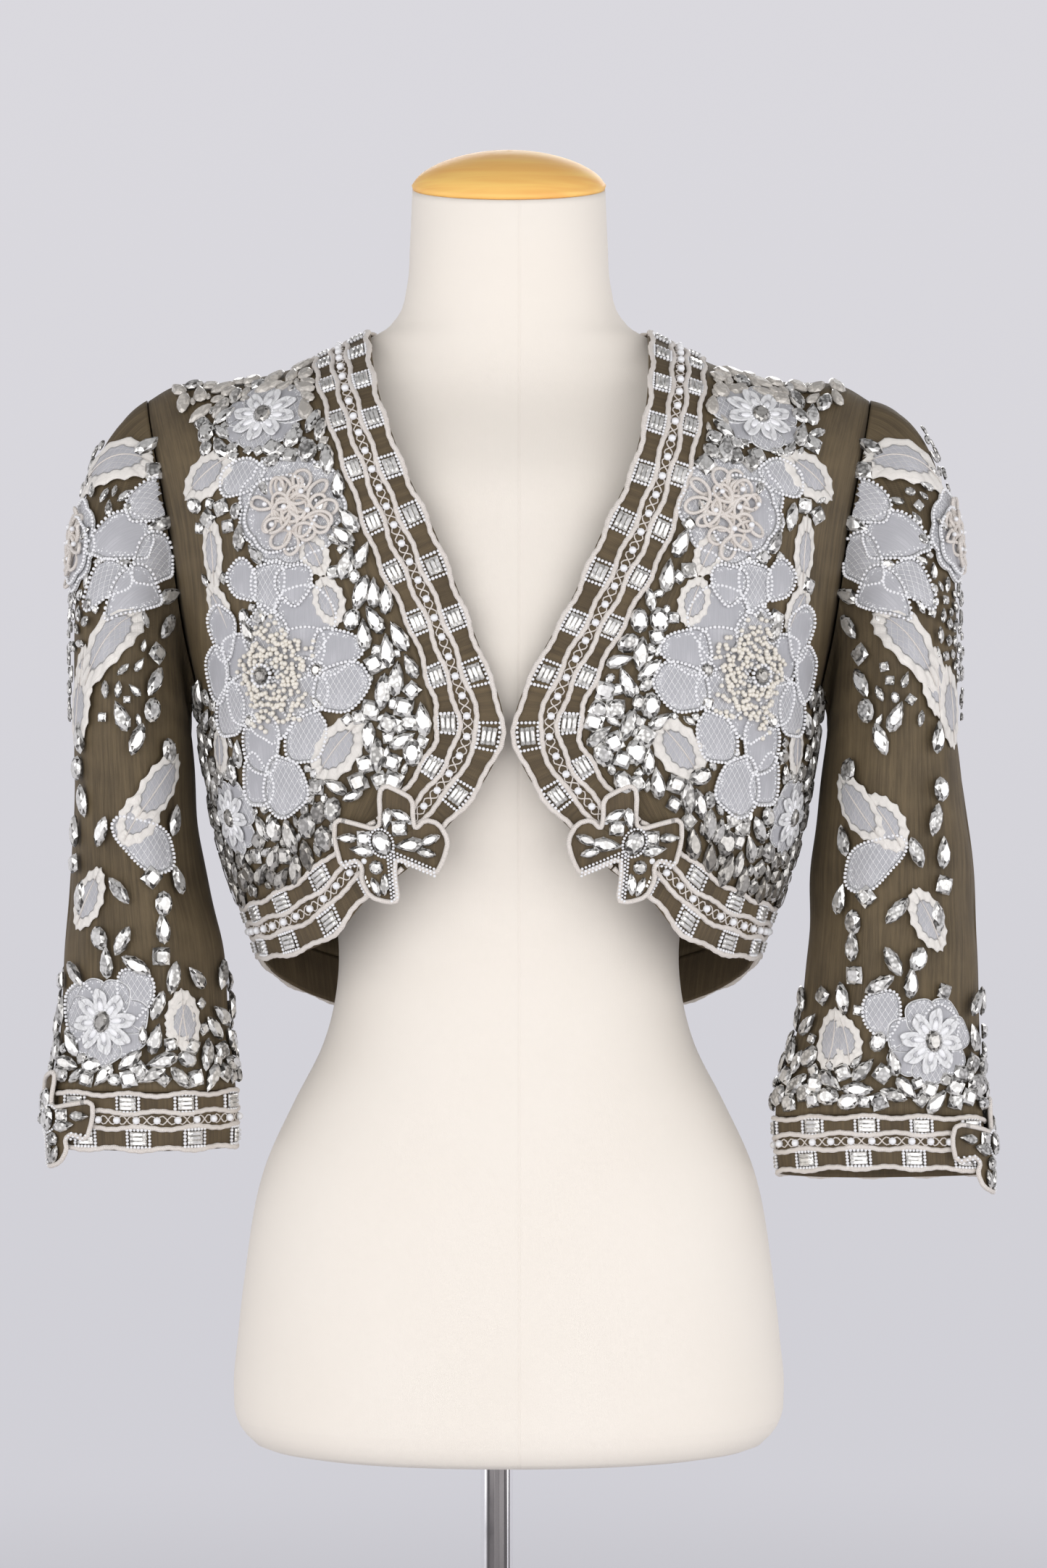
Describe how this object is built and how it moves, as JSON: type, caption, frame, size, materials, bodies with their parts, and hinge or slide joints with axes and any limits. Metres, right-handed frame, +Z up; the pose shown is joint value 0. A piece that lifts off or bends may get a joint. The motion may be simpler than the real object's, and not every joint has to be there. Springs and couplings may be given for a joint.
{
  "type": "bolero jacket on dress form",
  "caption": "Cropped bolero jacket with beaded bands, bows, blossoms and three-quarter sleeves, standing on a limbless dress form with a wooden neck cap, pole and round foot.",
  "frame": {"origin": "on the underside of the stand's foot, straight under the middle of the neck", "axes": "+Z up, -Y towards the front of the jacket, +X towards the wearer's left"},
  "size_m": [0.5824, 0.3, 1.3196],
  "materials": {
    "silk": "olive silk chiffon, soft sheen",
    "band_silk": "olive silk satin band",
    "organza": "pale blue-grey organza with white stitching",
    "cord": "ivory satin cord",
    "beads": "glossy white and cream beads",
    "crystal": "foil-backed faceted crystal",
    "canvas": "cream jersey over a moulded torso",
    "wood": "lacquered beech",
    "chrome": "polished chrome"
  },
  "bodies": {
    "root": {"back": "silk", "back_blossom_left": "organza", "back_blossom_right": "organza", "back_leaf_left": "organza", "back_leaf_right": "organza", "back_rose": "cord", "bead_flower_left": "beads", "bead_flower_right": "beads", "blossom_high_left": "organza", "blossom_high_right": "organza", "blossom_low_left": "organza", "blossom_low_right": "organza", "bow_left": "crystal", "bow_right": "crystal", "cuff_band_left": "band_silk", "cuff_band_right": "band_silk", "cuff_bow_left": "crystal", "cuff_bow_right": "crystal", "edge_band_left": "band_silk", "edge_band_right": "band_silk", "form": "canvas", "front_left": "silk", "front_right": "silk", "hem_band_back": "band_silk", "hem_band_left": "band_silk", "hem_band_right": "band_silk", "leaf_low_left": "organza", "leaf_low_right": "organza", "leaf_middle_left": "organza", "leaf_middle_right": "organza", "leaf_shoulder_left": "organza", "leaf_shoulder_right": "organza", "leaf_side_left": "organza", "leaf_side_right": "organza", "leaf_waist_left": "organza", "leaf_waist_right": "organza", "neck_band_back": "band_silk", "neck_cap": "wood", "rose_left": "cord", "rose_right": "cord", "sleeve_blossom_left": "organza", "sleeve_blossom_right": "organza", "sleeve_leaf_cuff_left": "organza", "sleeve_leaf_cuff_right": "organza", "sleeve_leaf_high_left": "organza", "sleeve_leaf_high_right": "organza", "sleeve_leaf_middle_left": "organza", "sleeve_leaf_middle_right": "organza", "sleeve_left": "silk", "sleeve_right": "silk", "sleeve_rose_left": "cord", "sleeve_rose_right": "cord", "stand_base": "chrome", "stand_pole": "chrome"}
  },
  "joints": []
}
